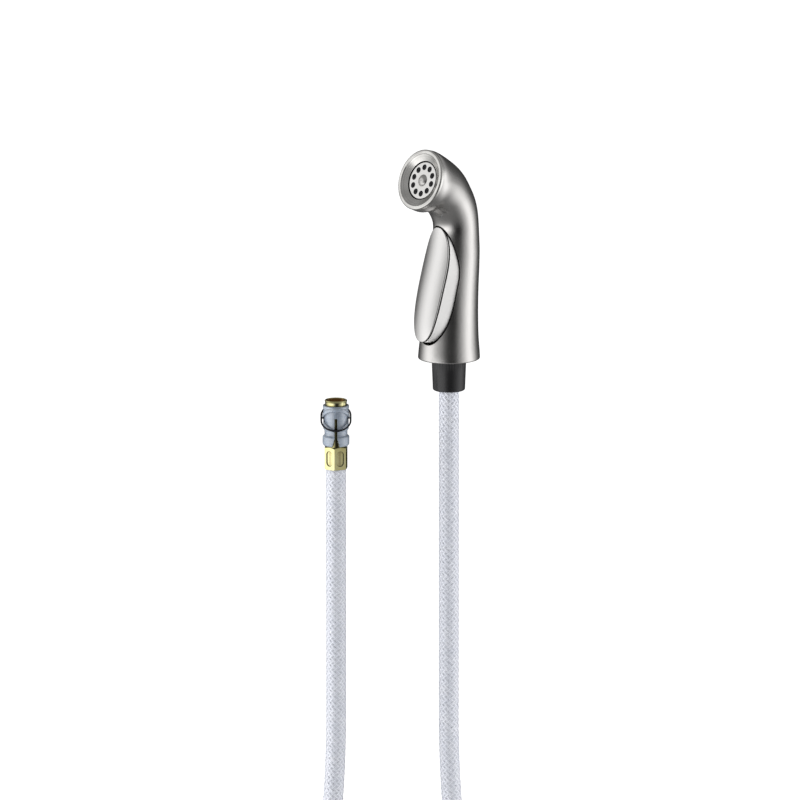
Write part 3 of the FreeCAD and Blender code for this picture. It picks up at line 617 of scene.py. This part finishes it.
def surroundings():
    """Soft bright and dark sides for the metal to reflect, and plain white behind the object."""
    world = bpy.data.worlds.new("studio")
    SCENE.world = world
    world.use_nodes = True
    tree = world.node_tree
    tree.nodes.clear()

    def node(kind, **settings):
        made = tree.nodes.new("ShaderNode" + kind)
        for key, value in settings.items():
            setattr(made, key, value)
        return made

    def calculate(operation, *values):
        made = node("Math", operation=operation)
        for socket, value in zip(made.inputs, values):
            if isinstance(value, bpy.types.NodeSocket):
                tree.links.new(value, socket)
            else:
                socket.default_value = value
        return made.outputs[0]

    def smooth_step(value, heights, to_low, to_high):
        made = node("MapRange", interpolation_type="SMOOTHSTEP")
        tree.links.new(value, made.inputs["Value"])
        numbers = zip(("From Min", "From Max", "To Min", "To Max"), (*heights, to_low, to_high))
        for name, number in numbers:
            made.inputs[name].default_value = number
        return made.outputs["Result"]

    def sides(share, levels):
        ramp = node("ValToRGB")
        tree.links.new(share, ramp.inputs[0])
        ramp.color_ramp.interpolation = "B_SPLINE"
        stops = ramp.color_ramp.elements
        while len(stops) < len(levels):
            stops.new(0.5)
        for stop, (degrees, level) in zip(stops, levels):
            stop.position = degrees / 360 + 0.5
            grey = level / SURROUND_PEAK
            stop.color = (grey, grey, grey, 1)
        return ramp.outputs[0]

    split = node("SeparateXYZ")
    tree.links.new(node("TexCoord").outputs["Generated"], split.inputs[0])
    x, y, z = split.outputs
    bearing = calculate("ARCTAN2", x, calculate("MULTIPLY", y, -1.0))
    bearing = calculate("SUBTRACT", bearing, math.radians(CAMERA_AZIMUTH))
    turns = calculate("WRAP", calculate("DIVIDE", bearing, 2 * math.pi), 0.5, -0.5)
    share = calculate("ADD", turns, 0.5)
    both = node("Mix", data_type="RGBA")
    tree.links.new(smooth_step(z, LOW_TO_LEVEL, 0.0, 1.0), both.inputs["Factor"])
    tree.links.new(sides(share, LOW_SIDES), both.inputs[6])
    tree.links.new(sides(share, LEVEL_SIDES), both.inputs[7])
    upper = node("Mix", data_type="RGBA")
    tree.links.new(smooth_step(z, STEEP_ABOVE, 0.0, 1.0), upper.inputs["Factor"])
    tree.links.new(both.outputs[2], upper.inputs[6])
    lower = node("Mix", data_type="RGBA")
    tree.links.new(smooth_step(z, STEEP_BELOW, 1.0, 0.0), lower.inputs["Factor"])
    tree.links.new(upper.outputs[2], lower.inputs[6])
    for mixed, level in ((upper, OVERHEAD), (lower, FLOOR_GLOW)):
        grey = level / SURROUND_PEAK
        mixed.inputs[7].default_value = (grey, grey, grey, 1)
    glow = node("Background")
    tree.links.new(lower.outputs[2], glow.inputs["Color"])
    glow.inputs["Strength"].default_value = SURROUND_PEAK
    plain = node("Background")
    plain.inputs["Color"].default_value = (1, 1, 1, 1)
    plain.inputs["Strength"].default_value = 1.0
    either = node("MixShader")
    tree.links.new(node("LightPath").outputs["Is Camera Ray"], either.inputs[0])
    tree.links.new(glow.outputs[0], either.inputs[1])
    tree.links.new(plain.outputs[0], either.inputs[2])
    tree.links.new(either.outputs[0], node("OutputWorld").inputs[0])


def soft_light(name, bearing, height, distance, size, watts):
    """A square soft lamp aimed at the sprayer, which lights matt surfaces and isn't reflected."""
    a, e = math.radians(CAMERA_AZIMUTH + bearing), math.radians(height)
    away = Vector((math.sin(a) * math.cos(e), -math.cos(a) * math.cos(e), math.sin(e)))
    data = bpy.data.lights.new(name, "AREA")
    data.size, data.energy = size, watts
    lamp = bpy.data.objects.new(name, data)
    SCENE.collection.objects.link(lamp)
    lamp.location = away * distance
    lamp.rotation_euler = away.to_track_quat("Z", "Y").to_euler()
    lamp.visible_camera = False
    lamp.visible_glossy = False


def studio():
    surroundings()
    for name, settings in LAMPS.items():
        soft_light(name, *settings)
    corners = [(x * FLOOR_REACH, y * FLOOR_REACH, FLOOR_Z)
               for x, y in ((-1, -1), (1, -1), (1, 1), (-1, 1))]
    floor = add_mesh("floor", corners, [(0, 1, 2, 3)])
    pale = Finish("pale_floor", (FLOOR_GREY,) * 3, 0.9, Emission_Strength=FLOOR_LIT)
    pale.shader.inputs["Emission Color"].default_value = (1, 1, 1, 1)
    floor.data.materials.append(pale.material)
    floor.visible_glossy = False
    SCENE.view_settings.view_transform = "Standard"


# ---- Assembly -----------------------------------------------------------------------------------
camera()
core, covers = hose()
core.data.materials.append(liner())
by_slot = finishes()
for cover in covers:
    cover.data.materials.append(by_slot["braided_hose"])
for piece in (core, *covers):
    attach(piece, "hose_line")
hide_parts("hose_tube")
spring = valve_spring()
spring.data.materials.append(by_slot["spring_steel"])
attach(spring, "handset")
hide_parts("valve_spring")
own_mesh(spring)
studio()
